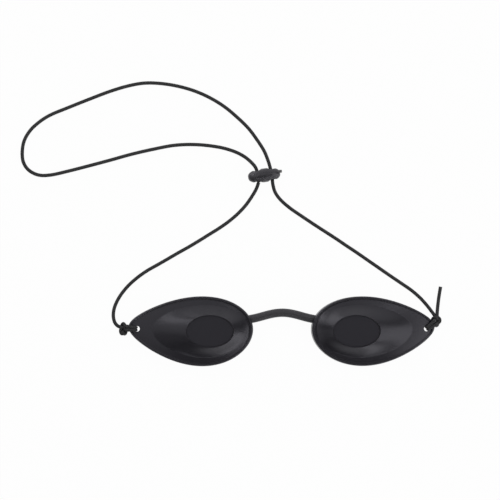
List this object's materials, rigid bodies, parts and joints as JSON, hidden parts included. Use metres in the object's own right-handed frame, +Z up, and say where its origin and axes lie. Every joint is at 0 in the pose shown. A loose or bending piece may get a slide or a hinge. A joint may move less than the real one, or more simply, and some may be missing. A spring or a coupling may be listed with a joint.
{
  "type": "tanning goggles",
  "caption": "Soft cupped eye shields with small dark oval lenses, joined by a thin flexible nose bridge and worn on an elastic cord that a sliding bead tightens.",
  "frame": {"origin": "On the surface that the rims rest on, under the middle of the nose bridge, at the centre of the two cups' footprint.", "axes": "+X from the left cup to the right one as they lie with the cups up, +Y towards the brow side of the rims, +Z up, away from the face."},
  "size_m": [0.1655, 0.1113, 0.01],
  "materials": {
    "cup_plastic": "satin",
    "lens_plastic": "matte",
    "bridge_rubber": "satin",
    "bead_plastic": "satin",
    "elastic_cord": "braided"
  },
  "bodies": {
    "left_cup": {"left_eye_cup": "cup_plastic", "left_lens": "lens_plastic", "nose_bridge": "bridge_rubber", "left_knot": "elastic_cord", "cord_left": "elastic_cord", "cord_loop": "elastic_cord", "cord_right_upper": "elastic_cord"},
    "right_cup": {"right_eye_cup": "cup_plastic", "right_lens": "lens_plastic", "right_knot": "elastic_cord", "cord_tail": "elastic_cord", "cord_right_lower": "elastic_cord"},
    "bead": {"slide_bead": "bead_plastic"}
  },
  "joints": [
    {"name": "bridge_flex", "type": "hinge", "parent": "left_cup", "child": "right_cup", "pos_m": [0, 0.0072, 0.00345], "axis": [0, 1, 0], "range_deg": [-20, 75], "stiffness_Nm_per_rad": 0.003, "deforming": ["nose_bridge", "cord_right_lower"]},
    {"name": "bead_slide", "type": "slide", "parent": "left_cup", "child": "bead", "axis": [-0.1392, 0.9903, 0], "range_m": [-0.02, 0.025], "deforming": ["cord_left", "cord_loop", "cord_right_upper"]}
  ]
}
